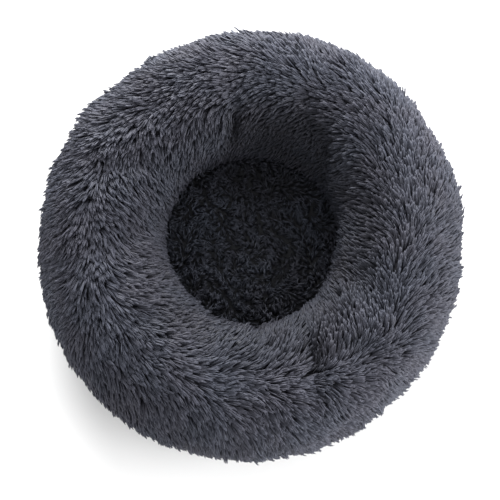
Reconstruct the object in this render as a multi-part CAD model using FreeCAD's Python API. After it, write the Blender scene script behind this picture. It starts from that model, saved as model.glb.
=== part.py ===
"""Round pet cushion bed: a stuffed ring around a sunken nest pad, on a cloth base with a zip.

Millimetres, +Z up. The origin is the centre of the footprint, on the surface that the bed stands on.
Angles are in degrees about +Z from +X. The zip faces +Y, the back of the bed.
"""

import FreeCAD, Part
import math
import os

Vec = FreeCAD.Vector
UP = Vec(0, 0, 1)

# ---- the bed's overall sizes -------------------------------------------------
ring_diameter = 572.0  # over the ring cover's backing cloth, at the ring's widest
tube_diameter = 164.0  # the stuffed ring's own thickness
tube_lift = 16.0  # from the floor to the bottom of that round tube
nest_seam_z = 36.0  # height of the seam between the nest panel and the ring cover
nest_rise = 24.0  # how far the pad's crown stands over that seam

# ---- cloths and clearances ---------------------------------------------------
cover_cloth = 2.0  # fur fabric's backing, pile not included
nest_cloth = 2.0
liner_cloth = 0.8
base_cloth_t = 1.2
ply_gap = 0.4  # air between one loose layer and the next
seam_gap = 0.3  # between the edges of two cloths that are sewn together
base_hem = 4.8  # base cloth's seam allowance, turned up inside the side band

# ---- grip dots under the base --------------------------------------------------
dot_diameter = 9.0
dot_height = 1.5
dot_pitch = 56.0  # from one circle of dots to the next
dot_margin = 20.0  # least distance from the base's edge to a dot's centre

# ---- the zip, a number 5 coil zip, set in the side band ------------------------
zip_from = 15.0  # angle of the zip's open end
zip_to = 165.0  # angle of its closed end
zip_sill = 8.5  # side band's cloth that shows below the zip
zip_lintel = 6.0  # and above it
tape_t = 0.8
tape_width = 9.0  # each tape, from its outer edge to the gap between the coils
tape_lap = 2.0  # how far the side band's cloth covers a tape's outer edge
coil_width = 2.4
coil_height = 2.0
coil_gap = 1.2  # between the two coils, where the slider's post runs
coil_seat = 0.1  # between a coil and its tape
stop_length = 4.0
slider_length = 12.0
slider_plate = 1.2
slider_rear_width = 9.0
slider_front_width = 10.8
slider_play = 0.4  # between the slider and what it runs on
rim_width = 1.0  # the slider's long edges, bent in towards the tape
post_thickness = 0.7
post_length = 3.0
well_gap = 0.6  # between the slider's inner plate and the stuffed ring
bridge_length = 8.0
bridge_width = 2.4
bridge_height = 3.4
bridge_wall = 1.2
bar_diameter = 1.4  # the pull's cross bar, held under the bridge
bar_play = 0.35
pull_length = 24.0
pull_width = 6.4
pull_thickness = 1.4
pull_window = 5.2  # from the cross bar's axis to the pull's solid plate
pull_side_play = 0.5  # between the bridge and the pull's window, each side

# ---- the care label ------------------------------------------------------------
label_angle = 205.0
label_width = 24.0
label_height = 14.0
label_t = 0.5

# ---- worked out from the sizes above ---------------------------------------------
tube_r = tube_diameter / 2
tube_centre_z = tube_lift + tube_r
ring_r = ring_diameter / 2 - tube_r  # radius of the stuffed ring's centre line
zip_z = dot_height + zip_sill + tape_width - tape_lap
band_seam_z = zip_z + tape_width - tape_lap + zip_lintel


def tube_z(at_r, radius):
    """Height of the lower side of a ring section of this radius, at_r from the axis."""
    return tube_centre_z - math.sqrt(radius**2 - (at_r - ring_r) ** 2)


def tube_offset(at_z):
    """Distance from the ring's centre line to the ring cover's face, at this height."""
    return math.sqrt(tube_r**2 - (tube_centre_z - at_z) ** 2)


cover_edge_r = ring_r + tube_offset(band_seam_z)  # where the ring cover meets the side band
nest_r = ring_r - tube_offset(nest_seam_z)  # and where it meets the nest panel
base_r = cover_edge_r - seam_gap
band_inner_r = base_r - base_cloth_t
band_top_z = tube_z(band_inner_r, tube_r - cover_cloth) - ply_gap
tape_outer_r = band_inner_r - ply_gap
tape_inner_r = tape_outer_r - tape_t
coil_inner_r = tape_outer_r + coil_seat
coil_outer_r = coil_inner_r + coil_height
plate_in_outer_r = tape_inner_r - slider_play
plate_in_inner_r = plate_in_outer_r - slider_plate
plate_out_inner_r = coil_outer_r + slider_play
plate_out_outer_r = plate_out_inner_r + slider_plate
foot_outer_r = plate_in_inner_r - well_gap  # the stuffed ring stays clear of the slider
floor_cloth_z = dot_height + base_cloth_t  # top face of the base cloth
stuffing_z = floor_cloth_z + ply_gap
tape_low_z = zip_z - tape_width
tape_high_z = zip_z + tape_width
bar_r = plate_out_outer_r + bar_play + bar_diameter / 2
stop_arc = math.degrees(stop_length / base_r)
slider_half_arc = math.degrees(slider_length / 2 / base_r)
gap_arc = math.degrees(seam_gap / base_r)
play_arc = math.degrees(slider_play / base_r)
slider_closed = zip_to - 2 * stop_arc - slider_half_arc - play_arc
slider_open = zip_from + 2 * stop_arc + slider_half_arc + play_arc


def point(r, z):
    return Vec(r, 0, z)


def face_of(edges):
    return Part.Face(Part.Wire(edges))


def polygon(*corners):
    return face_of([Part.LineSegment(a, b).toShape() for a, b in zip(corners, corners[1:] + corners[:1])])


def turned(face, start=0.0, end=360.0):
    """Turn an upright section about +Z from one angle to another."""
    solid = face.revolve(Vec(0, 0, 0), UP, end - start)
    solid.rotate(Vec(0, 0, 0), UP, start)
    return solid


def hoop(r_in, r_out, z_low, z_high, start=0.0, end=360.0):
    """A plain strip of cloth, standing round the axis."""
    corners = point(r_in, z_low), point(r_out, z_low), point(r_out, z_high), point(r_in, z_high)
    return turned(polygon(*corners), start, end)


def stuffed_ring(inset):
    """The stuffed ring, this far inside the ring cover: a round tube on a flat foot."""
    radius = tube_r - inset
    lining = inset - cover_cloth - ply_gap
    foot_in, foot_out = nest_r + seam_gap + lining, foot_outer_r - lining
    low = stuffing_z + lining
    top_in = point(foot_in, tube_z(foot_in, radius))
    top_out = point(foot_out, tube_z(foot_out, radius))
    low_in, low_out = point(foot_in, low), point(foot_out, low)
    edges = [
        Part.LineSegment(top_out, low_out).toShape(),
        Part.LineSegment(low_out, low_in).toShape(),
        Part.LineSegment(low_in, top_in).toShape(),
        Part.Arc(top_in, point(ring_r, tube_centre_z + radius), top_out).toShape(),
    ]
    return turned(face_of(edges))


def domed_pad(radius, z_low, z_edge, z_top):
    """A round pad with an upright edge and a crowned top."""
    rise = z_top - z_edge
    sphere_r = (radius**2 + rise**2) / (2 * rise)
    half = math.asin(radius / sphere_r) / 2
    middle = point(sphere_r * math.sin(half), z_top - sphere_r * (1 - math.cos(half)))
    edges = [
        Part.LineSegment(point(0, z_top), point(0, z_low)).toShape(),
        Part.LineSegment(point(0, z_low), point(radius, z_low)).toShape(),
        Part.LineSegment(point(radius, z_low), point(radius, z_edge)).toShape(),
        Part.Arc(point(radius, z_edge), middle, point(0, z_top)).toShape(),
    ]
    return turned(face_of(edges))


# ---- ring --------------------------------------------------------------------------
def ring_cover():
    """An arch of fur fabric, from the side band's top seam over the ring to the nest panel's seam."""
    outer = Part.makeTorus(ring_r, tube_r, Vec(0, 0, tube_centre_z), UP)
    inner = Part.makeTorus(ring_r, tube_r - cover_cloth, Vec(0, 0, tube_centre_z), UP)
    mouth = hoop(nest_r, cover_edge_r, 0, tube_centre_z)
    return outer.cut(inner).cut(mouth)


def ring_liner():
    inset = cover_cloth + ply_gap
    return stuffed_ring(inset).cut(stuffed_ring(inset + liner_cloth))


def ring_fill():
    return stuffed_ring(cover_cloth + ply_gap + liner_cloth + ply_gap)


# ---- nest --------------------------------------------------------------------------
def nest_panel():
    radius = nest_r - seam_gap
    top, under = nest_seam_z + nest_rise, nest_seam_z - nest_cloth
    whole = domed_pad(radius, under, nest_seam_z, top)
    return whole.cut(domed_pad(radius, under - nest_cloth, under, top - nest_cloth))


def nest_pad(inset):
    drop = nest_cloth + ply_gap + inset
    radius = nest_r - seam_gap - ply_gap - inset
    return domed_pad(radius, stuffing_z + inset, nest_seam_z - drop, nest_seam_z + nest_rise - drop)


def nest_pad_liner():
    return nest_pad(0).cut(nest_pad(liner_cloth))


def nest_pad_fill():
    return nest_pad(liner_cloth + ply_gap)


# ---- base --------------------------------------------------------------------------
def base_cloth():
    radius = band_inner_r - seam_gap
    disc = Part.makeCylinder(radius, base_cloth_t, Vec(0, 0, dot_height), UP)
    hem = hoop(radius - base_cloth_t, radius, dot_height, floor_cloth_z + base_hem)
    return disc.fuse(hem).removeSplitter()


def grip_dots():
    dots = [Part.makeCylinder(dot_diameter / 2, dot_height)]
    for circle in range(1, int((base_r - dot_margin) // dot_pitch) + 1):
        count = 6 * circle
        for n in range(count):
            turn = 2 * math.pi * n / count
            place = Vec(math.cos(turn), math.sin(turn), 0) * (circle * dot_pitch)
            dots.append(Part.makeCylinder(dot_diameter / 2, dot_height, place, UP))
    return Part.makeCompound(dots)


def side_band():
    start, end = zip_to + gap_arc, zip_from + 360 - gap_arc
    return hoop(band_inner_r, base_r, dot_height, band_top_z, start, end)


def zip_band_lower():
    return hoop(band_inner_r, base_r, dot_height, tape_low_z + tape_lap, zip_from, zip_to)


def zip_band_upper():
    return hoop(band_inner_r, base_r, tape_high_z - tape_lap, band_top_z, zip_from, zip_to)


# ---- zip ---------------------------------------------------------------------------
def zip_tape_lower():
    return hoop(tape_inner_r, tape_outer_r, tape_low_z, zip_z - coil_gap / 2, zip_from, zip_to)


def zip_tape_upper():
    return hoop(tape_inner_r, tape_outer_r, zip_z + coil_gap / 2, tape_high_z, zip_from, zip_to)


def zip_coil(z_low):
    """One nylon coil as a bead, with its edges cut off at an angle."""
    z_high = z_low + coil_width
    cut = coil_height / 4
    corners = [
        point(coil_inner_r, z_low + cut), point(coil_inner_r + cut, z_low),
        point(coil_outer_r - cut, z_low), point(coil_outer_r, z_low + cut),
        point(coil_outer_r, z_high - cut), point(coil_outer_r - cut, z_high),
        point(coil_inner_r + cut, z_high), point(coil_inner_r, z_high - cut),
    ]
    return turned(polygon(*corners), zip_from + 2 * stop_arc, zip_to - 2 * stop_arc)


def zip_coil_lower():
    return zip_coil(zip_z - coil_gap / 2 - coil_width)


def zip_coil_upper():
    return zip_coil(zip_z + coil_gap / 2)


def zip_top_stops():
    """One crimp on each coil's end, at the closed end."""
    start, end = zip_to - 2 * stop_arc + gap_arc, zip_to - stop_arc
    stops = []
    for z_low in zip_z - coil_gap / 2 - coil_width, zip_z + coil_gap / 2:
        stops.append(hoop(coil_inner_r, coil_outer_r, z_low, z_low + coil_width, start, end))
    return Part.makeCompound(stops)


def zip_bottom_stop():
    """One crimp across both coils, at the open end."""
    start, end = zip_from + stop_arc, zip_from + 2 * stop_arc - gap_arc
    half = coil_gap / 2 + coil_width
    return hoop(coil_inner_r, coil_outer_r, zip_z - half, zip_z + half, start, end)


def at_slider(solid):
    """Move a piece from its own frame to the closed slider's place.

    In its own frame a piece runs along +X towards the closed end, +Y is up the band and +Z points
    out of the band, measured from the bed's axis.
    """
    turn = math.radians(slider_closed)
    along = Vec(-math.sin(turn), math.cos(turn), 0)
    outward = Vec(math.cos(turn), math.sin(turn), 0)
    axes = FreeCAD.Matrix(
        along.x, UP.x, outward.x, 0,
        along.y, UP.y, outward.y, 0,
        along.z, UP.z, outward.z, zip_z,
        0, 0, 0, 1,
    )
    solid.Placement = FreeCAD.Placement(axes).multiply(solid.Placement)
    return solid


def box(x_low, x_high, half_y, z_low, z_high):
    return Part.makeBox(x_high - x_low, 2 * half_y, z_high - z_low, Vec(x_low, -half_y, z_low))


def slider_plate_solid(z_low, z_high):
    """One plate of the slider, with its shoulders at the front and a rounded tail."""
    front, rear = slider_length / 2, -slider_length / 2
    wide, narrow = slider_front_width / 2, slider_rear_width / 2
    corners = [
        Vec(rear, -narrow, z_low),
        Vec(0, -narrow, z_low),
        Vec(front - rim_width, -wide, z_low),
        Vec(front, -wide + rim_width, z_low),
        Vec(front, wide - rim_width, z_low),
        Vec(front - rim_width, wide, z_low),
        Vec(0, narrow, z_low),
        Vec(rear, narrow, z_low),
    ]
    plate = polygon(*corners).extrude(Vec(0, 0, z_high - z_low))
    tail = [e for e in plate.Edges if e.Length < z_high - z_low + 0.01 and e.BoundBox.XMax < rear + 0.01]
    return plate.makeFillet(2 * rim_width, tail)


def slider_bridge():
    """An arch on the outer plate, which the pull's cross bar runs under."""
    half, low, high = bridge_length / 2, plate_out_outer_r, plate_out_outer_r + bridge_height
    arch = box(-half, half, bridge_width / 2, low, high)
    tops = [e for e in arch.Edges if e.BoundBox.ZMin > high - 0.01 and e.Length < bridge_width + 0.01]
    arch = arch.makeFillet(2 * bridge_wall, tops)
    eye = box(-half + bridge_wall, half - bridge_wall, bridge_width, low, high - bridge_wall)
    ends = [e for e in eye.Edges if e.BoundBox.ZMin > high - bridge_wall - 0.01]
    ends = [e for e in ends if e.BoundBox.XLength < 0.01]
    return arch.cut(eye.makeFillet(bridge_wall / 2, ends))


def zip_slider():
    rear, front = -slider_length / 2, slider_length / 2
    body = slider_plate_solid(plate_in_inner_r, plate_in_outer_r)
    body = body.fuse(slider_plate_solid(plate_out_inner_r, plate_out_outer_r))
    post_front = front - rim_width
    post_z = plate_in_outer_r, plate_out_inner_r
    body = body.fuse(box(post_front - post_length, post_front, post_thickness / 2, *post_z))
    rim_low = tape_outer_r + slider_play
    half = slider_rear_width / 2
    for side in -1, 1:
        y_low = half - rim_width if side > 0 else -half
        rim = Part.makeBox(
            -rear - 2 * rim_width, rim_width, plate_out_inner_r - rim_low,
            Vec(rear + 2 * rim_width, y_low, rim_low),
        )
        body = body.fuse(rim)
    return at_slider(body.fuse(slider_bridge()).removeSplitter())


def zip_pull():
    """A flat tab with a window at one end. The window's end is the cross bar under the bridge."""
    half = pull_width / 2
    eye_half = bridge_width / 2 + pull_side_play
    low, high = bar_r - pull_thickness / 2, bar_r + pull_thickness / 2
    tip = -pull_length
    blade = box(tip, 0, half, low, high)
    ends = [e for e in blade.Edges if e.BoundBox.XMax < tip + 0.01 and e.BoundBox.ZLength > 0.5]
    blade = blade.makeFillet(0.9 * half, ends)
    window = box(-pull_window, 0.1, eye_half, low - 1, high + 1)
    grip = Part.makeCylinder(eye_half, 0.3, Vec(tip + pull_width, 0, high - 0.3), UP)
    bar = Part.makeCylinder(bar_diameter / 2, pull_width, Vec(0, -half, bar_r), Vec(0, 1, 0))
    return at_slider(blade.cut(window).cut(grip).fuse(bar).removeSplitter())


# ---- label -------------------------------------------------------------------------
def care_label():
    """A blank tab, sewn by its top edge to the side band's outer face."""
    half_arc = math.degrees(label_width / 2 / base_r)
    top = band_seam_z - ply_gap
    r_in = base_r + ply_gap
    start, end = label_angle - half_arc, label_angle + half_arc
    return hoop(r_in, r_in + label_t, top - label_height, top, start, end)


PIECES = [
    ring_cover, ring_liner, ring_fill,
    nest_panel, nest_pad_liner, nest_pad_fill,
    base_cloth, grip_dots, side_band, zip_band_lower, zip_band_upper,
    zip_tape_lower, zip_tape_upper, zip_coil_lower, zip_coil_upper,
    zip_top_stops, zip_bottom_stop, zip_slider, zip_pull,
    care_label,
]

os.makedirs("parts", exist_ok=True)
for make in PIECES:
    make().exportStep(f"parts/{make.__name__}.step")
print(f"slider closed at {slider_closed:.4f} deg, travel {slider_closed - slider_open:.4f} deg")
print(f"pull's axis at radius {bar_r:.3f} mm, height {zip_z:.3f} mm")
print(f"base radius {base_r:.3f} mm, nest radius {nest_r:.3f} mm, top {tube_centre_z + tube_r:.3f} mm")
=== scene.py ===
"""Round pet cushion bed in shaggy faux fur: a stuffed ring round a nest, on a zipped cloth base."""
import math

import bpy
import numpy as np
from mathutils import Matrix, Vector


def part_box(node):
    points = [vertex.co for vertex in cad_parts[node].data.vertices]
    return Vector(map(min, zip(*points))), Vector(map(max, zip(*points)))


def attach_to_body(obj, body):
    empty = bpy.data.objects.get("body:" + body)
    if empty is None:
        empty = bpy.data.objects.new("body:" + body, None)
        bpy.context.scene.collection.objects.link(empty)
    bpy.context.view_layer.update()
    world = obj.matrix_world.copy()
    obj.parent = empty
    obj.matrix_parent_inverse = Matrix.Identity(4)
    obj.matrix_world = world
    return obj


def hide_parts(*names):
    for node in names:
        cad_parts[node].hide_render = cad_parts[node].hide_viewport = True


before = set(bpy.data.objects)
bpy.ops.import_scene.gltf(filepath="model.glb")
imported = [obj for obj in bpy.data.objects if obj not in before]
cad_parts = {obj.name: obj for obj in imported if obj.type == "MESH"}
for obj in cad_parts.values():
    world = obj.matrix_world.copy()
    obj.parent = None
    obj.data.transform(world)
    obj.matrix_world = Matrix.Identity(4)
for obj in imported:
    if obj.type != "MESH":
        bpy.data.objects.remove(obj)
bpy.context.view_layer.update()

MM = 0.001
TAU = 2 * math.pi

# ---- sizes taken from the frame ------------------------------------------------
ring_low, ring_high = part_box("ring_cover")
nest_low, nest_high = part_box("nest_panel")
band_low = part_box("side_band")[0]
sill_low, sill_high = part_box("zip_band_lower")
lintel_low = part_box("zip_band_upper")[0]
slider_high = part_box("zip_slider")[1]
TUBE_R = 82 * MM  # the stuffed ring's section, as the CAD model has it
CLOTH = 2 * MM  # the fur's backing cloth
OXFORD = 1.2 * MM  # the base's cloth
RING_R = ring_high[0] - TUBE_R
RING_Z = ring_high[2] - TUBE_R
BASE_R = sill_high[1]
BAND_Z = ring_low[2]  # the seam between the side band and the ring cover
NEST_R = nest_high[0]
NEST_Z = nest_low[2] + CLOTH  # the nest panel's edge
NEST_TOP = nest_high[2]
PHI_OUT = -math.asin((RING_Z - BAND_Z) / TUBE_R)  # section angle at the side band's seam
PHI_IN = math.pi + math.asin((RING_Z - NEST_Z) / TUBE_R)  # and at the nest panel's seam


# ---- smooth random fields --------------------------------------------------------
class Waves:
    """A smooth random field through space, from about -1 to 1, with lumps of about this size."""

    def __init__(self, seed, size):
        count = 24
        rng = np.random.default_rng(seed)
        way = rng.normal(size=(count, 3))
        way /= np.linalg.norm(way, axis=1)[:, None]
        self.k = way * (TAU / (size * rng.uniform(0.7, 1.5, count)))[:, None]
        self.phase = rng.uniform(0, TAU, count)

    def __call__(self, p):
        total = np.zeros(p.shape[:-1])
        for k, phase in zip(self.k, self.phase):
            total += np.cos(p @ k + phase)
        return total / math.sqrt(len(self.phase) / 2) / 1.6


def smooth(low, high, x):
    t = np.clip((x - low) / (high - low), 0, 1)
    return t * t * (3 - 2 * t)


def unit(v):
    return v / np.maximum(np.linalg.norm(v, axis=-1, keepdims=True), 1e-12)


# ---- the ring's shape --------------------------------------------------------------
LUMPS = Waves(3, 150 * MM)
SMALL_LUMPS = Waves(4, 60 * MM)
LUMP, SMALL_LUMP = 1.8 * MM, 1.3 * MM  # how high the lumps stand
SLACK = 4.6 * MM  # how far the ring is from being stuffed full
FULLER = 4 * MM  # what it gains of that on its outer side, towards +Y and -Y
SEAM_TURN = 0.7  # radians of the section over which the cloth leaves a seam
# the outline isn't quite round: longer along one line, and a little further out on one side
OVAL, OVAL_AT = 6 * MM, math.radians(58)
SHIFT, SHIFT_AT = 2 * MM, math.radians(70)
# creases where the stuffing gives way: angle round the ring, angle round its section, half-widths
# in degrees, depth, and how far the crease leans round the ring along its length
CREASES = [
    (-67, 102, 4.5, 28, 17 * MM, 0.12),
    (-52, 84, 9.0, 24, 5 * MM, -0.5),
    (48, 148, 6.0, 32, 22 * MM, -0.10),
    (62, 116, 6.0, 26, 9 * MM, -0.30),
    (76, 138, 20.0, 30, 13 * MM, 0.0),
    (-88, 168, 5.0, 26, 6 * MM, 0.0),
    (100, 142, 4.5, 30, 19 * MM, 0.08),
    (-28, 120, 6.0, 34, 6 * MM, 0.2),
    (-140, 105, 6.5, 30, 5 * MM, 0.3),
    (152, 100, 7.0, 30, 4 * MM, -0.3),
    (62, 178, 34.0, 32, 12 * MM, 0.0),
]


def crease_depth(theta, phi):
    """How deep the creases are at a place, together."""
    total = 0.0
    for angle, around, wide, long, depth, lean in CREASES:
        along = np.degrees(phi) - around
        off = (np.degrees(theta) - angle - lean * along + 180) % 360 - 180
        total = total + depth * np.exp(-((off / wide) ** 2) - (along / long) ** 2)
    return total


def section_radius(theta, phi):
    """The stuffed ring's section radius, with its lumps and creases."""
    degrees = np.degrees(phi)
    at = np.stack([np.cos(theta) * RING_R, np.sin(theta) * RING_R, np.sin(phi) * TUBE_R], -1)
    at[..., :2] *= (1 + 0.4 * np.cos(phi))[..., None]
    seam = smooth(PHI_OUT, PHI_OUT + SEAM_TURN, phi)
    seam = seam * smooth(-PHI_IN, -PHI_IN + SEAM_TURN, -phi)
    lumps = LUMP * LUMPS(at) + SMALL_LUMP * SMALL_LUMPS(at) - SLACK
    # the inner wall gives way further, most of all towards +Y
    wall = smooth(105, 165, degrees) * (1 - smooth(195, 228, degrees))
    lumps = lumps - wall * (2.0 + 8.0 * np.sin(theta) - 3.5 * np.cos(theta) ** 2) * MM
    lumps = lumps + FULLER * np.sin(theta) ** 2 * (1 - smooth(50, 110, degrees))
    oval = OVAL * np.cos(2 * (theta - OVAL_AT)) + SHIFT * np.cos(theta - SHIFT_AT)
    oval = oval * np.clip(np.cos(phi), 0, 1)
    return TUBE_R + seam * (np.minimum(lumps, 0) + oval) - crease_depth(theta, phi)


def ring_point(theta, phi):
    r = section_radius(theta, phi)
    out = RING_R + r * np.cos(phi)
    return np.stack([out * np.cos(theta), out * np.sin(theta), RING_Z + r * np.sin(phi)], -1)


def ring_frame(theta, phi):
    """Point, outward normal, and two ways along the surface: round the section, round the ring."""
    step = 0.004
    p = ring_point(theta, phi)
    round_ = unit(ring_point(theta + step, phi) - ring_point(theta - step, phi))
    up = unit(ring_point(theta, phi + step) - ring_point(theta, phi - step))
    normal = unit(np.cross(round_, up))
    outward = np.stack([np.cos(theta) * np.cos(phi), np.sin(theta) * np.cos(phi), np.sin(phi)], -1)
    normal *= np.sign((normal * outward).sum(-1))[..., None]
    return p, normal, up, round_


# ---- the nest's shape ----------------------------------------------------------------
NEST_LUMPS = Waves(8, 110 * MM)
NEST_SLACK, NEST_LUMP = 3 * MM, 2.6 * MM


def nest_point(x, y, drop=0.0):
    """A point of the nest's crowned, lumpy top, or of a surface that much lower."""
    far = np.clip(np.hypot(x, y) / NEST_R, 0, 1)
    p = np.stack([x, y, np.zeros_like(x)], -1)
    z = NEST_Z + (NEST_TOP - NEST_Z) * (1 - far**2) - NEST_SLACK * (1 - far**4)
    z = z + NEST_LUMP * NEST_LUMPS(p) * (1 - far**4)
    return np.stack([x, y, z - drop], -1)


# ---- meshes ------------------------------------------------------------------------
def mesh_object(name, points, faces):
    """A mesh object from points and one array of equal-sized faces, or several."""
    groups = faces if isinstance(faces, list) else [faces]
    groups = [np.asarray(g, dtype=np.int32) for g in groups]
    loops = np.concatenate([g.ravel() for g in groups])
    sizes = np.concatenate([np.full(len(g), g.shape[1], np.int32) for g in groups])
    starts = np.concatenate([[0], np.cumsum(sizes)[:-1]]).astype(np.int32)
    mesh = bpy.data.meshes.new(name)
    mesh.vertices.add(len(points))
    mesh.vertices.foreach_set("co", np.asarray(points, dtype=np.float32).ravel())
    mesh.loops.add(len(loops))
    mesh.loops.foreach_set("vertex_index", loops)
    mesh.polygons.add(len(sizes))
    mesh.polygons.foreach_set("loop_start", starts)
    mesh.polygons.foreach_set("use_smooth", np.full(len(sizes), True))
    mesh.update(calc_edges=True)
    mesh.validate()
    obj = bpy.data.objects.new(name, mesh)
    bpy.context.scene.collection.objects.link(obj)
    return obj


def add_values(mesh, name, values):
    attribute = mesh.attributes.new(name, "FLOAT", "POINT")
    attribute.data.foreach_set("value", values.astype(np.float32))


def add_vectors(mesh, name, values):
    attribute = mesh.attributes.new(name, "FLOAT_VECTOR", "POINT")
    attribute.data.foreach_set("vector", values.astype(np.float32).ravel())


def grid_faces(rows, columns, wrap_rows=False, wrap_columns=False):
    """Quads between neighbouring points of a grid that is stored row by row."""
    r = np.arange(rows if wrap_rows else rows - 1)
    c = np.arange(columns if wrap_columns else columns - 1)
    r, c = [a.ravel() for a in np.meshgrid(r, c, indexing="ij")]
    r1, c1 = (r + 1) % rows, (c + 1) % columns
    return np.stack([r * columns + c, r1 * columns + c, r1 * columns + c1, r * columns + c1], -1)


def lathe(name, section, columns):
    """A closed section of (radius, height) rows at each of some angles, joined round the ring."""
    theta = np.linspace(0, TAU, columns, endpoint=False)
    r, z = section(theta)
    p = np.stack([r * np.cos(theta), r * np.sin(theta), z], -1)
    faces = grid_faces(*r.shape, wrap_rows=True, wrap_columns=True)
    return mesh_object(name, p.reshape(-1, 3), faces)


def capped(name, rows, first_pole, last_pole):
    """A closed skin from rows of points round the axis, each end drawn together at a pole."""
    n, columns = len(rows), len(rows[0])
    points = np.concatenate([*rows, [first_pole], [last_pole]])
    k = np.arange(columns)
    k1 = (k + 1) % columns
    last_row = (n - 1) * columns
    first = np.stack([np.full(columns, n * columns), k, k1], -1)
    last = np.stack([np.full(columns, n * columns + 1), last_row + k1, last_row + k], -1)
    quads = grid_faces(n, columns, wrap_columns=True)
    return mesh_object(name, points, [quads, np.concatenate([first, last])])


def repeat(name, points, faces, origins, axes):
    """Copies of one small mesh. axes holds each copy's three axes, scaled, as rows."""
    each = np.einsum("pi,nij->npj", np.asarray(points), axes) + origins[:, None]
    shift = (np.arange(len(origins)) * len(points))[:, None, None]
    groups = [(shift + np.asarray(g)[None]).reshape(-1, len(g[0])) for g in faces]
    return mesh_object(name, each.reshape(-1, 3), groups)


def turned_unit(profile, sides):
    """A small closed solid turned about X, from rows of (x, radius): points, and faces by size."""
    turn = np.arange(sides) / sides * TAU
    points = [(x, r * math.cos(a), r * math.sin(a)) for x, r in profile for a in turn]
    quads = grid_faces(len(profile), sides, wrap_columns=True)
    ends = np.array([range(sides), range(len(points) - 1, len(points) - 1 - sides, -1)])
    return points, [quads[:, ::-1], ends]


def strip(name, r_in, r_out, z_low, z_high, start, end, bulge=None, columns=400):
    """A strip of cloth that stands round the axis, with rounded edges and closed ends.

    bulge gives how far the cloth stands out, from the angle and from 0 at its foot to 1 at its top.
    """
    theta = np.radians(np.linspace(start, end, columns))
    t = np.array([0.0, 0.04, 0.2, 0.4, 0.6, 0.8, 0.96, 1.0])
    soft = 0.3 * (r_out - r_in)
    edge = np.array([soft, 0, 0, 0, 0, 0, 0, soft])
    t_all = np.concatenate([t, t[::-1]])[:, None]
    radius = np.concatenate([r_out - edge, (r_in + edge)[::-1]])[:, None]
    if bulge is not None:
        radius = radius + bulge(theta[None], t_all)
    radius = radius + np.zeros((1, columns))
    z = z_low + (z_high - z_low) * t_all + np.zeros((1, columns))
    points = np.stack([radius * np.cos(theta), radius * np.sin(theta), z], -1)
    rows = len(t_all)
    quads = grid_faces(rows, columns, wrap_rows=True)
    k = np.arange(rows) * columns
    ends = np.stack([k[::-1], k + columns - 1])
    obj = mesh_object(name, points.reshape(-1, 3), [quads[:, ::-1], ends])
    along = (theta * r_out)[None] + np.zeros((rows, 1))
    add_vectors(obj.data, "cloth", np.stack([along, z, np.zeros_like(z)], -1).reshape(-1, 3))
    return obj


# ---- fur ----------------------------------------------------------------------------
CURVE_STEPS = 12  # in the sum that gives a fibre its curve
TUFT_BEND, FIBRE_BEND = 0.10, 0.03  # sideways curve over a fibre's length
SIDES = 3  # of a fibre
TAPER = (0, 0.4, 0.84, 1), (0.8, 1.0, 0.86, 0.3)  # width at these shares of the length
SINK = 1 * MM  # how far the roots stand in their cloth


def part_way(table, share):
    """A value from a table of running sums, at this share of the length."""
    k = min(int(share * CURVE_STEPS), CURVE_STEPS - 1)
    return table[:, k] + (table[:, k + 1] - table[:, k]) * (share * CURVE_STEPS - k)


def fibre_lines(roots, normals, ways, lengths, lift, group, close, at, rng):
    """Middle lines of fibres, at these shares of their length."""
    n = len(roots)
    t = (np.arange(CURVE_STEPS) + 0.5) / CURVE_STEPS
    angle = lift[0][:, None] + (lift[1] - lift[0])[:, None] * t
    start = np.zeros((n, 1))
    run = np.concatenate([start, np.cumsum(np.cos(angle), 1) / CURVE_STEPS], 1)
    rise = np.concatenate([start, np.cumsum(np.sin(angle), 1) / CURVE_STEPS], 1)
    bend = rng.normal(size=group.max() + 1)[group] * TUFT_BEND + rng.normal(size=n) * FIBRE_BEND
    side = np.cross(normals, ways)
    line = []
    for share in at:
        along = (lengths * part_way(run, share))[:, None] * ways
        over = (lengths * part_way(rise, share))[:, None] * normals
        line.append(roots + along + over + (lengths * bend * share * share)[:, None] * side)
    line = np.stack(line, 1)
    count = np.maximum(np.bincount(group), 1)
    for k, share in enumerate(at):
        middle = np.stack([np.bincount(group, line[:, k, c]) / count for c in range(3)], -1)
        line[:, k] += (close * share)[:, None] * (middle[group] - line[:, k])
    return line


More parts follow.
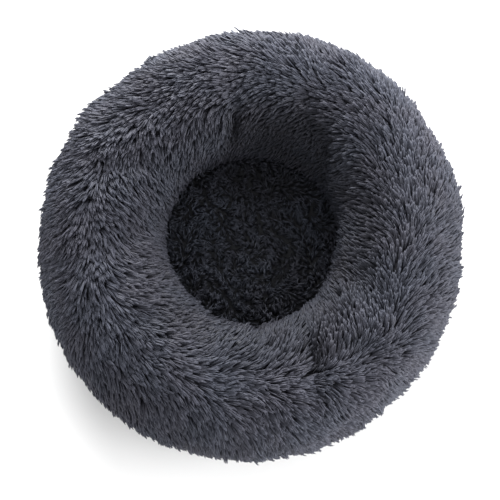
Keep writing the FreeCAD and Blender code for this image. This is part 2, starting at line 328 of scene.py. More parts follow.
def pile(
    name, roots, normals, ways, lengths, thick, lift, group, close, painted_shade, seed,
    rings=(0, 0.4, 0.84), keep=None,
):
    """Tapered fibres, three-sided, that leave the cloth steeply and bend over along their way.

    lift is the angle over the cloth at the root and at the tip. group numbers the tuft that each
    fibre belongs to: a tuft's fibres curve alike, and close says how far each one comes in to the
    tuft's middle line at its tip. The argument after close, from 0 to 1, is painted shade: how far
    a fibre is darkened for the shade in a hollow or on a shaded wall. rings are the shares of the
    length where a fibre has corners, and keep may move its line.
    """
    rng = np.random.default_rng(seed)
    n = len(roots)
    at = np.array([*rings, 1.0])
    line = fibre_lines(roots, normals, ways, lengths, lift, group, close, at, rng)
    if keep is not None:
        line = keep(line)
    tangent = unit(np.gradient(line, axis=1))
    across = unit(np.cross(tangent, normals[:, None, :] + 0.01))
    over = np.cross(across, tangent)
    widths = np.interp(rings, *TAPER)
    turn = rng.uniform(0, TAU, n)
    points = []
    for k in range(len(rings)):
        radius = thick * widths[k] / 2
        for j in range(SIDES):
            a = turn + j * TAU / SIDES
            points.append(
                line[:, k]
                + (radius * np.cos(a))[:, None] * across[:, k]
                + (radius * np.sin(a))[:, None] * over[:, k]
            )
    points.append(line[:, -1])
    points = np.stack(points, 1)
    per = points.shape[1]

    # one fibre's faces, and their places in a map where it has a cell from 0 to 1
    quads, quad_uv = [], []
    for k in range(len(rings) - 1):
        low, high = rings[k], rings[k + 1]
        for j in range(SIDES):
            a, b = k * SIDES + j, k * SIDES + (j + 1) % SIDES
            quads.append([a, b, b + SIDES, a + SIDES])
            left, right = j / SIDES, (j + 1) / SIDES
            quad_uv.append([(left, low), (right, low), (right, high), (left, high)])
    last = (len(rings) - 1) * SIDES
    triangles, tri_uv = [[0, 2, 1]], [[(0, -0.1), (1, -0.1), (0.5, -0.02)]]
    for j in range(SIDES):
        left, middle, right = j / SIDES, (j + 0.5) / SIDES, (j + 1) / SIDES
        triangles.append([last + j, last + (j + 1) % SIDES, per - 1])
        tri_uv.append([(left, rings[-1]), (right, rings[-1]), (middle, 1)])

    first = (np.arange(n) * per)[:, None, None]
    quad_faces = (first + np.array(quads)[None]).reshape(-1, 4)
    tri_faces = (first + np.array(triangles)[None]).reshape(-1, 3)
    obj = mesh_object(name, points.reshape(-1, 3), [quad_faces, tri_faces])
    mesh = obj.data
    add_values(mesh, "along", np.tile(np.concatenate([np.repeat(rings, SIDES), [1.0]]), n))
    tone = np.random.default_rng(seed + 1).normal(size=group.max() + 1)
    add_values(mesh, "tone", np.repeat(tone[group], per))
    # painted shade, one value per fibre, which the fur material darkens it by
    add_values(mesh, "painted_shade", np.repeat(painted_shade, per))

    # every fibre has a cell of its own in the map
    cells = math.ceil(math.sqrt(n))
    cell = np.stack([np.arange(n) % cells, np.arange(n) // cells], -1)[:, None, None, :]
    uv = [
        ((cell + 0.15 + 0.75 * np.array(part)[None]) / cells).reshape(-1, 2)
        for part in (quad_uv, tri_uv)
    ]
    layer = mesh.uv_layers.new(name="OFBake")
    layer.data.foreach_set("uv", np.concatenate(uv).astype(np.float32).ravel())
    return obj


# ---- the ring's fur ---------------------------------------------------------------------
TUFT = 5.0 * MM  # from one tuft to the next
FIBRES, LOOSE = 4, 2  # in a tuft, and single shorter fibres beside it
FUR_LONG, FUR_THICK = 24 * MM, 1.9 * MM
CLOSE_UP = 0.38  # how far a tuft's fibres come together at their tips
SHADE_AT = math.radians(50)  # the side where the inner wall lies deepest in its own shade
PAINTED_THROAT_SHADE_AT = math.radians(275)  # and the side of the throat whose pile is darkened with painted shade
FULL_CREASE = 18 * MM  # a crease of this depth counts in full: its pile is shortest there and darkest with painted shade
SECTORS = 12  # the ring's fur is in this many pieces
# fields for the pile's swirl, for its turns and single leans, and for its length
SWIRL, TURN, LEAN_NOISE = Waves(21, 190 * MM), Waves(22, 70 * MM), Waves(23, 45 * MM)
LONG = Waves(24, 80 * MM)


def ring_tufts(seed):
    """Tuft places on the ring: angle round it, and angle round its section."""
    rng = np.random.default_rng(seed)
    rows = int(TUBE_R * (PHI_IN - PHI_OUT) / TUFT)
    theta, phi = [], []
    for row in range(rows):
        at = PHI_OUT + (row + 0.5) / rows * (PHI_IN - PHI_OUT)
        n = int(TAU * (RING_R + TUBE_R * math.cos(at)) / TUFT)
        theta.append((np.arange(n) + rng.uniform(-0.5, 0.5, n)) / n * TAU)
        phi.append(at + rng.uniform(-0.5, 0.5, n) * TUFT / TUBE_R)
    phi = np.clip(np.concatenate(phi), PHI_OUT + 0.01, PHI_IN - 0.01)
    return np.concatenate(theta) % TAU, phi


def ring_way(theta, phi, p, up, round_):
    """The way the pile lies: down the outside and down the inside of the ring, with a swirl."""
    degrees = np.degrees(phi)
    swirl = 42 + 18 * SWIRL(p) + 15 * TURN(p) - 6 * np.cos(theta + 0.8)
    # the parting wanders along the crest
    inner = smooth(38, 132, degrees + 14 * SWIRL(p + 1) + 10 * TURN(p + 1))
    psi = np.radians(swirl * (1 - inner) + (180 - 0.85 * swirl) * inner + 10 * LEAN_NOISE(p))
    way = -np.cos(psi)[:, None] * up + np.sin(psi)[:, None] * round_
    # below the widest line it hangs
    hang = 0.8 * (1 - smooth(-42, 8, degrees))[:, None]
    down = np.stack([0.22 * np.cos(theta), 0.22 * np.sin(theta), np.full_like(theta, -1.0)], -1)
    return unit(way * (1 - hang) + down * hang)


ZIP_FROM, ZIP_TO = 12, 168  # degrees round the bed where the pile is trimmed clear of the zip
CLEAR_R, CLEAR_Z = BASE_R + 9 * MM, slider_high[2] + 2 * MM  # nearer in than this it ends higher up
FLOOR_GAP = 4 * MM


def clear_of_zip(line):
    """Pull fibres up short where they would hang in the slider's way or onto the floor."""
    tip, root = line[:, -1], line[:, 0]
    degrees = np.degrees(np.arctan2(tip[:, 1], tip[:, 0])) % 360
    over_zip = (degrees > ZIP_FROM) & (degrees < ZIP_TO)
    in_way = over_zip & (np.hypot(tip[:, 0], tip[:, 1]) < CLEAR_R)
    low = np.where(in_way, CLEAR_Z, FLOOR_GAP)
    short = np.clip((root[:, 2] - low) / np.maximum(root[:, 2] - tip[:, 2], 1e-6), 0.15, 1)
    short = np.where(tip[:, 2] < low, short, 1)
    return root[:, None] + (line - root[:, None]) * short[:, None, None]


def ring_fur_part(name, theta, phi, seed, rng):
    """The pile of one sector, from its tufts' angles round the ring and round its section."""
    tufts = len(theta)
    group = np.repeat(np.arange(tufts), FIBRES + LOOSE)
    loose = np.tile(np.arange(FIBRES + LOOSE) >= FIBRES, tufts)
    spread = np.where(loose, 0.5, 0.17) * TUFT
    th, ph = theta[group], phi[group]
    far = RING_R + TUBE_R * np.cos(ph)
    th = th + rng.normal(size=len(th)) * spread / far
    ph = np.clip(ph + rng.normal(size=len(ph)) * spread / TUBE_R, PHI_OUT, PHI_IN)
    p, normal, up, round_ = ring_frame(th, ph)
    own = 0.09 * rng.normal(size=(tufts, 3))[group] + 0.03 * rng.normal(size=p.shape)
    way = unit(ring_way(th, ph, p, up, round_) + own)
    way = unit(way - (way * normal).sum(-1, keepdims=True) * normal * 0.8)

    degrees = np.degrees(ph)
    shade = smooth(75, 135, degrees) * (0.5 + 0.5 * np.cos(th - SHADE_AT)) ** 1.5
    # painted shade on the throat's inner wall, heaviest on the -Y side
    painted_throat_shade = (0.5 + 0.4 * np.cos(th - PAINTED_THROAT_SHADE_AT)) * smooth(82, 125, degrees)
    crease = np.clip(crease_depth(th, ph) / FULL_CREASE, 0, 1)

    tuft_size = rng.normal(size=tufts)[group]
    length = 1 + 0.10 * LONG(p) + 0.10 * tuft_size + 0.04 * rng.normal(size=len(p))
    length = FUR_LONG * length * (1 - 0.25 * smooth(110, 180, degrees))
    length *= np.where(loose, 0.85 - 0.35 * shade, 1) * (1 - 0.4 * crease)
    thick = FUR_THICK * (1 + 0.15 * rng.normal(size=len(p)))
    # in the shade the tufts stand up more, each by its own angle
    tuft_lift = rng.normal(size=tufts)[group]
    lift = 46 + 4 * tuft_lift, 7 + (5 + 9 * shade) * tuft_lift + 20 * shade
    close = np.where(loose, 0, CLOSE_UP + 0.35 * shade)
    # painted shade: the fur is darkened where the inner wall lies in its own shade, on the throat's
    # -Y side and in the creases
    painted_shade = np.clip(0.35 * shade + painted_throat_shade + crease, 0, 1)
    return pile(
        name, p - SINK * normal, normal, way, length, thick, np.radians(lift), group, close, painted_shade,
        seed, keep=clear_of_zip,
    )


def make_ring_fur():
    theta, phi = ring_tufts(31)
    rng = np.random.default_rng(32)
    sector = (theta / TAU * SECTORS).astype(int)
    pieces = []
    for k in range(SECTORS):
        pick = np.nonzero(sector == k)[0]
        name = f"ring_fur_{k + 1:02d}"
        pieces.append(ring_fur_part(name, theta[pick], phi[pick], 100 + k, rng))
    return pieces


# ---- the nest's fur -----------------------------------------------------------------------
NEST_TUFT, NEST_FIBRES = 3.8 * MM, 3
NEST_SPREAD = 0.8 * MM  # of a tuft's roots
NEST_LONG, NEST_THICK = 14.5 * MM, 1.4 * MM
NEST_MARGIN = 3 * MM  # bare cloth along the seam
NEST_CLOSE = 0.6


def make_nest_fur():
    rng = np.random.default_rng(41)
    n = int(2 * NEST_R / NEST_TUFT)
    x, y = [a.ravel() for a in np.meshgrid(np.arange(n), np.arange(n))]
    x = (x + rng.uniform(0, 1, len(x))) * NEST_TUFT - NEST_R
    y = (y + rng.uniform(0, 1, len(y))) * NEST_TUFT - NEST_R
    inside = np.hypot(x, y) < NEST_R - NEST_MARGIN
    x, y = x[inside], y[inside]
    tufts = len(x)
    group = np.repeat(np.arange(tufts), NEST_FIBRES)
    px = x[group] + rng.normal(size=len(group)) * NEST_SPREAD
    py = y[group] + rng.normal(size=len(group)) * NEST_SPREAD
    p = nest_point(px, py)
    step = 1 * MM
    dx = nest_point(px + step, py) - nest_point(px - step, py)
    dy = nest_point(px, py + step) - nest_point(px, py - step)
    normal = unit(np.cross(dx, dy))
    # matted: the pile lies every way, in patches
    turn = 3.2 * TURN(p * 1.4) + 1.6 * LEAN_NOISE(p) + 0.35 * rng.normal(size=tufts)[group]
    way = np.stack([np.cos(turn), np.sin(turn), np.zeros_like(turn)], -1)
    way = unit(way - (way * normal).sum(-1, keepdims=True) * normal)
    length = NEST_LONG * (1 + 0.15 * rng.normal(size=len(p)))
    thick = NEST_THICK * (1 + 0.15 * rng.normal(size=len(p)))
    tuft_lift = rng.normal(size=tufts)[group]
    lift = 52 + 10 * tuft_lift, 18 + 12 * tuft_lift
    close = np.full(len(p), NEST_CLOSE)
    # painted shade: the ring's shadow on the nest, darker towards +X and +Y, and uneven in patches
    # all over
    side = p[:, 0] + 0.7 * p[:, 1]
    painted_shade = np.clip(0.35 + 0.25 * side / NEST_R + 0.3 * NEST_LUMPS(p + 1), 0, 1)
    return pile(
        "nest_fur", p - SINK * normal, normal, way, length, thick, np.radians(lift), group, close,
        painted_shade, 200, rings=(0, 0.6),
    )


# ---- the cloths under the fur, and what they hold ---------------------------------------
def ring_shell():
    """The ring cover's backing cloth: an open arch with a thickness."""
    phi = np.linspace(PHI_OUT, PHI_IN, 96)

    def section(theta):
        t, f = np.meshgrid(theta, np.concatenate([phi, phi[::-1]]))
        inset = np.concatenate([np.zeros(len(phi)), np.full(len(phi), CLOTH)])[:, None]
        r = section_radius(t, f) - inset
        return RING_R + r * np.cos(f), RING_Z + r * np.sin(f)

    return lathe("ring_cover_cloth", section, 300)


def stuffed(name, inset, outer_r, inner_r, floor_z):
    """A closed tube under the ring cover, on its flat foot."""
    phi = np.linspace(PHI_OUT, PHI_IN, 72)

    def section(theta):
        t, f = np.meshgrid(theta, phi)
        r = section_radius(t, f) - inset
        out = RING_R + r * np.cos(f)
        up = RING_Z + r * np.sin(f)
        foot_r = np.array([inner_r, inner_r, (inner_r + outer_r) / 2, outer_r, outer_r])
        foot_z = np.array([0.6 * NEST_Z, floor_z, floor_z, floor_z, 0.6 * BAND_Z])
        ones = np.ones((1, len(theta)))
        return (
            np.concatenate([out, foot_r[:, None] * ones]),
            np.concatenate([up, foot_z[:, None] * ones]),
        )

    return lathe(name, section, 240)


def disc_pad(name, radius, low_z, drop):
    """A closed round pad: a flat bottom, an upright edge and the nest's crowned top."""
    rings = 40
    theta = np.linspace(0, TAU, 160, endpoint=False)
    rows = []
    for k in range(1, rings + 1):
        r = radius * k / rings
        rows.append(nest_point(r * np.cos(theta), r * np.sin(theta), drop))
    for share in 1.0, 0.5:
        low = rows[rings - 1] * (share, share, 1)
        low[:, 2] = low_z
        rows.append(low)
    middle = nest_point(np.zeros(1), np.zeros(1), drop)[0]
    return capped(name, rows, middle, (0, 0, low_z))


# ---- the base: floor cloth, bands, zip, label ---------------------------------------------
ZIP_START, ZIP_END = 15.0, 165.0  # degrees round the bed, as in the CAD model
SEAM_ARC = 0.07  # gap in degrees between the side band's ends and the zip bands
LABEL_AT, LABEL_HALF = 205.0, 2.75  # the label's middle, and half its width, in degrees
STITCH, STITCH_STEP, THREAD = 3.2 * MM, 4.2 * MM, 0.55 * MM
COIL_PITCH, COIL_WIRE, COIL_DEEP = 1.33 * MM, 0.36 * MM, 2 * MM
COIL_END = 8 * MM  # from the bands' end to the coil's
FLOOR_SLACK = 0.35 * MM
DOT_PITCH, DOT_R, DOT_CIRCLES = 56 * MM, 4.5 * MM, 4


def floor_cloth():
    """The base's cloth: a round panel with its edge turned up, slack between the grip dots."""
    low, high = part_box("base_cloth")
    radius, hem_z = high[0], high[2] - 0.3 * MM
    theta = np.linspace(0, TAU, 180, endpoint=False)
    sag = Waves(51, 70 * MM)

    def ring(r, z, wave=0.0):
        p = np.stack([r * np.cos(theta), r * np.sin(theta), np.full(len(theta), z)], -1)
        p[:, 2] += wave * (sag(p * (1, 1, 0)) - 1) * (1 - (r / radius) ** 6)
        return p

    steps = np.linspace(0, 1, 31)[1:]
    under = [ring(radius * t, low[2], -FLOOR_SLACK) for t in steps]
    top = [ring((radius - OXFORD) * t, low[2] + OXFORD, -FLOOR_SLACK) for t in steps[::-1]]
    hem = [ring(radius, hem_z), ring(radius - OXFORD / 2, high[2]), ring(radius - OXFORD, hem_z)]
    rows = under + hem + top
    under_pole, top_pole = low[2] + FLOOR_SLACK, low[2] + OXFORD + FLOOR_SLACK
    obj = capped("floor_cloth", rows, (0, 0, under_pole), (0, 0, top_pole))
    add_vectors(obj.data, "cloth", np.concatenate([*rows, np.zeros((2, 3))]))
    return obj


def grip_dots():
    """Low rubber domes, printed under the floor cloth in circles."""
    low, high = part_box("grip_dots")
    centres = [(0.0, 0.0)]
    for circle in range(1, DOT_CIRCLES + 1):
        r = circle * DOT_PITCH
        turn = np.arange(6 * circle) / (6 * circle) * TAU
        centres += [(r * math.cos(a), r * math.sin(a)) for a in turn]
    height = high[2] - low[2]
    profile = [(0.0, 1.0), (0.3, 0.98), (0.65, 0.86), (0.9, 0.6), (1.0, 0.3)]
    points, faces = turned_unit(profile, 20)
    origins = np.array([(x, y, high[2]) for x, y in centres])
    axes = np.array([[(0, 0, -height), (DOT_R, 0, 0), (0, -DOT_R, 0)]] * len(centres))
    return repeat("grip_dots_rubber", points, faces, origins, axes)


def stitches(name, start, end, radius, z):
    """A row of thread stitches along a band."""
    count = int(math.radians(end - start) * radius / STITCH_STEP)
    theta = np.radians(start) + (np.arange(count) + 0.5) / count * math.radians(end - start)
    along = np.stack([-np.sin(theta), np.cos(theta), np.zeros(count)], -1)
    out = np.stack([np.cos(theta), np.sin(theta), np.zeros(count)], -1)
    up = np.zeros((count, 3)) + (0, 0, 1)
    axes = np.stack([along * STITCH, out * THREAD, up * THREAD], 1)
    profile = [(-0.5, 0.15), (-0.4, 0.42), (0.0, 0.5), (0.4, 0.42), (0.5, 0.15)]
    points, faces = turned_unit(profile, 6)
    return repeat(name, points, faces, out * radius + up * z, axes)


def zip_coil(name, node, hand):
    """A nylon coil: one filament wound along the tape's edge, right-handed or left-handed."""
    low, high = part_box(node)
    r_mid, z_mid = high[1] - COIL_DEEP / 2, (low[2] + high[2]) / 2
    half_r = COIL_DEEP / 2 - COIL_WIRE
    half_z = (high[2] - low[2]) / 2 - COIL_WIRE
    start = math.radians(ZIP_START) + COIL_END / BASE_R
    end = math.radians(ZIP_END) - COIL_END / BASE_R
    turns = int((end - start) * high[1] / COIL_PITCH)
    u = np.linspace(0, turns * TAU, turns * 10 + 1)
    theta = start + (end - start) * u / u[-1]
    out = np.stack([np.cos(theta), np.sin(theta), np.zeros_like(theta)], -1)
    up = np.zeros((len(u), 3)) + (0, 0, 1)
    lean = np.cos(u)[:, None] * out + hand * np.sin(u)[:, None] * up
    line = out * r_mid + up * z_mid
    line = line + half_r * np.cos(u)[:, None] * out + hand * half_z * np.sin(u)[:, None] * up
    tangent = unit(np.gradient(line, axis=0))
    side = unit(np.cross(tangent, lean))
    over = np.cross(side, tangent)
    sides = 5
    turn = np.arange(sides) / sides * TAU
    points = line[:, None] + COIL_WIRE * (
        np.cos(turn)[None, :, None] * side[:, None] + np.sin(turn)[None, :, None] * over[:, None]
    )
    quads = grid_faces(len(u), sides, wrap_columns=True)
    k = np.arange(sides)
    ends = np.stack([k[::-1], (len(u) - 1) * sides + k])
    return mesh_object(name, points.reshape(-1, 3), [quads, ends])


# ---- materials ---------------------------------------------------------------------------
class Nodes:
    """A short way to write a node material."""

    def __init__(self, name, roughness, **sockets):
        self.material = bpy.data.materials.new(name)
        self.material.use_nodes = True
        self.tree = self.material.node_tree
        self.shader = self.tree.nodes["Principled BSDF"]
        self.shader.inputs["Roughness"].default_value = roughness
        for socket, value in sockets.items():
            self.shader.inputs[socket.replace("_", " ")].default_value = value

    def add(self, kind, **settings):
        node = self.tree.nodes.new("ShaderNode" + kind)
        for key, value in settings.items():
            setattr(node, key, value)
        return node

    def link(self, a, b):
        self.tree.links.new(a, b)

    def put(self, socket, value):
        if hasattr(value, "is_output"):
            self.link(value, socket)
        else:
            socket.default_value = value

    def math(self, operation, a, b=0.0, c=0.0):
        node = self.add("Math", operation=operation)
        for socket, value in zip(node.inputs, (a, b, c)):
            self.put(socket, value)
        return node.outputs[0]

    def mix(self, factor, a, b, blend="MIX"):
        node = self.add("Mix", data_type="RGBA", blend_type=blend)
        self.put(node.inputs["Factor"], factor)
        # its sockets for colours come after those for numbers and vectors
        self.put(node.inputs[6], a)
        self.put(node.inputs[7], b)
        return node.outputs[2]

    def value(self, name):
        return self.add("Attribute", attribute_name=name).outputs["Fac"]

    def noise(self, scale, detail, rough):
        node = self.add("TexNoise")
        node.inputs["Scale"].default_value = scale
        node.inputs["Detail"].default_value = detail
        node.inputs["Roughness"].default_value = rough
        self.link(self.add("TexCoord").outputs["Object"], node.inputs["Vector"])
        return node.outputs["Fac"]

    def ramp(self, value, *stops):
        node = self.add("ValToRGB")
        elements = node.color_ramp.elements
        while len(elements) < len(stops):
            elements.new(0.5)
        for element, (place, colour) in zip(elements, stops):
            element.position = place
            element.color = colour
        self.link(value, node.inputs[0])
        return node.outputs[0]

    def bump(self, height, strength, distance):
        node = self.add("Bump")
        node.inputs["Strength"].default_value = strength
        node.inputs["Distance"].default_value = distance
        self.link(height, node.inputs["Height"])
        self.link(node.outputs[0], self.shader.inputs["Normal"])


def rgba(r, g, b):
    return (r, g, b, 1.0)


def grey(value):
    return rgba(value, value, value)


def fur_material(name, root, middle, tip, spread):
    """Fibres that change from root to tip, and differ by tuft and in broad patches.

    Painted shade darkens a fibre in a hollow or on a shaded wall, most of all at its root.
    """
    m = Nodes(name, 0.6, Specular_IOR_Level=0.25)
    shade = m.ramp(m.value("along"), (0.0, root), (0.45, middle), (1.0, tip))
    patch = m.noise(14, 2, 0.6)
    patch = m.ramp(patch, (0.38, grey(0)), (0.62, grey(1)))
    tinted = m.mix(patch, rgba(0.96, 1.0, 1.02), rgba(1.03, 1.0, 1.0))
    coloured = m.mix(1.0, shade, tinted, "MULTIPLY")
    gain = m.math("MULTIPLY_ADD", m.value("tone"), spread, 1.0)
    # painted shade: the fibre's shade value darkens it, most at the root and less towards the tip
    painted_darkening = m.math("MULTIPLY_ADD", m.value("along"), -0.4, 0.75)
    painted_darkening = m.math("MULTIPLY", m.value("painted_shade"), painted_darkening)
    gain = m.math("MULTIPLY", m.math("MAXIMUM", gain, 0.3), m.math("SUBTRACT", 1.0, painted_darkening))
    tone = m.add("CombineColor")
    for socket in tone.inputs:
        m.link(gain, socket)
    m.link(m.mix(1.0, coloured, tone.outputs[0], "MULTIPLY"), m.shader.inputs["Base Color"])
    return m.material


def cloth_material(name, colour, dark, grain, roughness):
    """A matted or brushed cloth: soft grain, with slightly uneven dye."""
    m = Nodes(name, roughness)
    fine = m.noise(grain, 4, 0.7)
    patch = m.mix(m.noise(30, 3, 0.6), dark, colour)
    shade = m.ramp(fine, (0.3, grey(0.65)), (0.7, grey(1)))
    m.link(m.mix(1.0, patch, shade, "MULTIPLY"), m.shader.inputs["Base Color"])
    m.bump(fine, 0.6, 0.5 * MM)
    return m.material


def weave_material(name, colour, dark, thread, roughness, bump=0.6):
    """A plain weave whose threads follow the cloth, over and under by turns."""
    m = Nodes(name, roughness, Specular_IOR_Level=0.22)
    where = m.add("Attribute", attribute_name="cloth").outputs["Vector"]
    ridges = []
    for direction in "X", "Y":
        wave = m.add("TexWave", wave_type="BANDS", bands_direction=direction, wave_profile="SIN")
        # the texture's phase turns by 20 times its scale in a metre
        wave.inputs["Scale"].default_value = TAU / 20 / thread
        wave.inputs["Distortion"].default_value = 0.3
        m.link(where, wave.inputs["Vector"])
        ridges.append(wave.outputs["Fac"])
    check = m.add("TexChecker")
    check.inputs["Scale"].default_value = 1 / thread
    m.link(where, check.inputs["Vector"])
    height = m.mix(check.outputs["Fac"], ridges[0], ridges[1])
    patch = m.mix(m.noise(45, 3, 0.6), dark, colour)
    shade = m.ramp(height, (0.0, grey(0.55)), (0.8, grey(1)))
    m.link(m.mix(1.0, patch, shade, "MULTIPLY"), m.shader.inputs["Base Color"])
    m.bump(height, bump, 0.3 * MM)
    return m.material


def metal_material(name, colour, worn, roughness):
    """Plated metal, rubbed brighter here and there, with fine scratches."""
    m = Nodes(name, roughness, Metallic=1.0)
    rub = m.ramp(m.noise(260, 4, 0.65), (0.45, grey(0)), (0.7, grey(1)))
    m.link(m.mix(rub, colour, worn), m.shader.inputs["Base Color"])
    scuffed = m.math("MULTIPLY_ADD", m.noise(700, 3, 0.7), 0.25, roughness - 0.1)
    m.link(scuffed, m.shader.inputs["Roughness"])
    m.bump(m.noise(1500, 3, 0.7), 0.15, 0.1 * MM)
    return m.material


def plastic_material(name, colour, pale, roughness, grain=900):
    """Moulded nylon or rubber, slightly mottled and faintly pitted."""
    m = Nodes(name, roughness)
    m.link(m.mix(m.noise(120, 3, 0.6), colour, pale), m.shader.inputs["Base Color"])
    m.bump(m.noise(grain, 3, 0.6), 0.25, 0.1 * MM)
    return m.material


def paint(obj, material):
    obj.data.materials.clear()
    obj.data.materials.append(material)


# ---- stage ----------------------------------------------------------------------------------
def make_floor():
    half = 6.0
    points = [(-half, -half, 0), (half, -half, 0), (half, half, 0), (-half, half, 0)]
    floor = mesh_object("floor", points, np.array([[0, 1, 2, 3]]))
    paint(floor, Nodes("floor_paint", 0.9, Base_Color=grey(0.86)).material)


def aim(obj, place, target, up):
    """Turn an object's -Z from place to target, with up towards the top of what it sees."""
    back = unit(np.array(place, float) - np.array(target, float))
    right = unit(np.cross(up, back))
    over = np.cross(back, right)
    rows = [[right[i], over[i], back[i], place[i]] for i in range(3)]
    obj.matrix_world = Matrix([*rows, [0, 0, 0, 1]])


CAMERA_TILT = 12.0  # degrees off straight down
CAMERA_SIDE = -103.0  # the side of the bed that the camera stands towards, degrees about +Z
CAMERA_FAR = 1.6
CAMERA_LENS = 84.0
LOOK_AT = (-0.003, -0.012, RING_Z)


def make_camera():
    data = bpy.data.cameras.new("camera")
    camera = bpy.data.objects.new("camera", data)
    bpy.context.scene.collection.objects.link(camera)
    tilt, side = math.radians(CAMERA_TILT), math.radians(CAMERA_SIDE)
    level = math.sin(tilt)
    away = np.array([level * math.cos(side), level * math.sin(side), math.cos(tilt)])
    aim(camera, np.array(LOOK_AT) + CAMERA_FAR * away, LOOK_AT, (0, 1, 0))
    data.sensor_width = 36
    data.lens = CAMERA_LENS
    data.clip_start, data.clip_end = 0.05, 20
    bpy.context.scene.camera = camera


def make_light(name, place, size, power):
    """A round white panel that faces the bed."""
    data = bpy.data.lights.new(name, "AREA")
    data.shape = "DISK"
    data.size = size
    data.energy = power
    light = bpy.data.objects.new(name, data)
    bpy.context.scene.collection.objects.link(light)
    aim(light, place, (0, 0, 0.05), (0, 1, 0.001))


def make_lights():
    make_light("right", (2.9, -0.7, 0.9), 2.4, 188)
    make_light("back", (-0.4, 3.0, 1.05), 2.4, 340)
    make_light("front", (-1.2, -2.6, 1.3), 1.2, 14)
    world = bpy.data.worlds.new("studio")
    bpy.context.scene.world = world
    world.use_nodes = True
    background = world.node_tree.nodes["Background"]
    background.inputs["Color"].default_value = grey(1)
    background.inputs["Strength"].default_value = 0.87


# ---- assembly ---------------------------------------------------------------------------------
bpy.context.scene.view_settings.view_transform = "Standard"
make_camera()
make_lights()
make_floor()

ring_fur = fur_material(
    "ring_fur", rgba(0.037, 0.0378, 0.0495), rgba(0.0435, 0.0451, 0.0597),
    rgba(0.057, 0.0594, 0.0787), 0.05,
)
nest_fur = fur_material(
    "nest_fur", rgba(0.009, 0.0097, 0.013), rgba(0.034, 0.037, 0.049),
    rgba(0.092, 0.099, 0.129), 0.25,
)
undercoat = cloth_material(
    "fur_backing", rgba(0.040, 0.0405, 0.052), rgba(0.032, 0.0325, 0.042), 600, 0.9
)
nest_backing = cloth_material(
    "nest_backing", rgba(0.012, 0.013, 0.017), rgba(0.009, 0.010, 0.013), 600, 0.9
)
liner = cloth_material(
    "non_woven_liner", rgba(0.74, 0.74, 0.72), rgba(0.66, 0.66, 0.64), 900, 0.8
)
fibre = cloth_material(
    "fibre_fill", rgba(0.88, 0.88, 0.86), rgba(0.8, 0.8, 0.78), 220, 0.95
)
oxford = weave_material(
    "oxford_cloth", rgba(0.017, 0.0175, 0.021), rgba(0.012, 0.012, 0.015), 0.55 * MM, 0.65
)
tape = weave_material(
    "zip_tape_weave", rgba(0.013, 0.013, 0.015), rgba(0.009, 0.009, 0.011), 0.4 * MM, 0.6
)
satin = weave_material(
    "label_cloth", rgba(0.72, 0.72, 0.70), rgba(0.64, 0.64, 0.62), 0.25 * MM, 0.45, 0.3
)
thread = plastic_material(
    "sewing_thread", rgba(0.030, 0.031, 0.037), rgba(0.042, 0.043, 0.05), 0.55
)
nylon = plastic_material(
    "zip_coil_nylon", rgba(0.012, 0.012, 0.014), rgba(0.02, 0.02, 0.023), 0.32
)
rubber = plastic_material(
    "grip_rubber", rgba(0.018, 0.018, 0.019), rgba(0.028, 0.028, 0.029), 0.7, 1500
)
metal = metal_material(
    "zip_gunmetal", rgba(0.085, 0.085, 0.09), rgba(0.20, 0.20, 0.205), 0.42
)


def place(piece, material, node, slot):
    """Give a new piece its material and its body, and hide the CAD node it stands for; the slot is
    not used.
    """
    paint(piece, material)
    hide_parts(node)
    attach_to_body(piece, "bed")


def attach(piece, material, to):
    """A piece of trim that goes with another one."""
    paint(piece, material)
    piece.parent = to


# ---- ring ----
ring_cloth = ring_shell()
place(ring_cloth, undercoat, "ring_cover", "ring_fur")
for piece in make_ring_fur():
    attach(piece, ring_fur, ring_cloth)
ring_liner = stuffed("ring_liner_tube", 2.4 * MM, 243.5 * MM, 151 * MM, 3.2 * MM)
place(ring_liner, liner, "ring_liner", "liner")
ring_fill = stuffed("ring_fibre_fill", 3.6 * MM, 242.3 * MM, 152.2 * MM, 4.4 * MM)
place(ring_fill, fibre, "ring_fill", "fibre_fill")

# ---- nest ----
nest_cloth = disc_pad("nest_panel_cloth", NEST_R, NEST_Z - CLOTH, 0)
place(nest_cloth, nest_backing, "nest_panel", "nest_fur")
attach(make_nest_fur(), nest_fur, nest_cloth)
for node, name, material, slot, drop in (
    ("nest_pad_liner", "nest_pad_liner_bag", liner, "liner", 2.4 * MM),
    ("nest_pad_fill", "nest_pad_fibre_fill", fibre, "fibre_fill", 3.6 * MM),
):
    low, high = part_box(node)
    pad = disc_pad(name, high[0], low[2], drop)
    place(pad, material, node, slot)

# ---- base ----
BAND_IN = BASE_R - OXFORD
SEAM_PULL = Waves(61, 26 * MM)
PUCKER = 0.28 * MM


def pucker(theta, t):
    """Seams draw the cloth in; between them it stands out a little, unevenly."""
    at = np.stack([np.cos(theta) * BASE_R, np.sin(theta) * BASE_R, 0 * theta], -1)
    return PUCKER * (SEAM_PULL(at) - 0.4) * (0.35 + 0.65 * t * (1 - t) * 4)


floor_panel = floor_cloth()
place(floor_panel, oxford, "base_cloth", "oxford")
place(grip_dots(), rubber, "grip_dots", "grip_rubber")

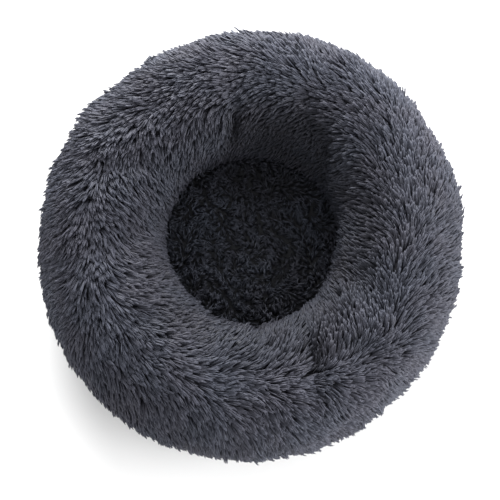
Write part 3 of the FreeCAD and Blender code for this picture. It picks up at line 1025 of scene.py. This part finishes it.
bands = {}
for node, name, start, end, gap, columns in (
    ("side_band", "side_band_cloth", ZIP_END, ZIP_START + 360, SEAM_ARC, 640),
    ("zip_band_lower", "zip_band_lower_cloth", ZIP_START, ZIP_END, 0.0, 400),
    ("zip_band_upper", "zip_band_upper_cloth", ZIP_START, ZIP_END, 0.0, 400),
):
    low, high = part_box(node)
    cloth = strip(
        name, BAND_IN, BASE_R, low[2], high[2], start + gap, end - gap, pucker, columns
    )
    place(cloth, oxford, node, "oxford")
    bands[node] = cloth

STITCH_IN = 1.6 * MM  # from a band's edge
STITCH_R = BASE_R + 0.02 * MM
for name, node, start, end, z in (
    ("stitch_base_side", "side_band", ZIP_END + 0.3, ZIP_START + 359.7, band_low[2] + STITCH_IN),
    ("stitch_base_zip", "zip_band_lower", ZIP_START, ZIP_END, sill_low[2] + STITCH_IN),
    ("stitch_zip_sill", "zip_band_lower", ZIP_START, ZIP_END, sill_high[2] - STITCH_IN),
    ("stitch_zip_lintel", "zip_band_upper", ZIP_START, ZIP_END, lintel_low[2] + STITCH_IN),
):
    attach(stitches(name, start, end, STITCH_R, z), thread, bands[node])

# ---- zip ----
TAPE = 0.8 * MM
for node in "zip_tape_lower", "zip_tape_upper":
    low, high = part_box(node)
    piece = strip(
        f"{node}_woven", high[1] - TAPE, high[1], low[2], high[2], ZIP_START, ZIP_END
    )
    place(piece, tape, node, "zip_tape")
for node, hand in ("zip_coil_lower", 1), ("zip_coil_upper", -1):
    place(zip_coil(f"{node}_wound", node, hand), nylon, node, "zip_nylon")
for node in "zip_slider", "zip_pull", "zip_top_stops", "zip_bottom_stop":
    paint(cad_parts[node], metal)


# ---- label ----
def hang(theta, t):
    """The label hangs from its seam a little away from the band, more at one corner."""
    across = (np.degrees(theta) - LABEL_AT) / LABEL_HALF
    return (1 - t) * (0.9 + 0.5 * across) * MM


label_low, label_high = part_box("care_label")
label = strip(
    "care_label_cloth", BASE_R + 0.5 * MM, BASE_R + 0.9 * MM, label_low[2], label_high[2],
    LABEL_AT - LABEL_HALF, LABEL_AT + LABEL_HALF, hang, 24,
)
place(label, satin, "care_label", "label_cloth")
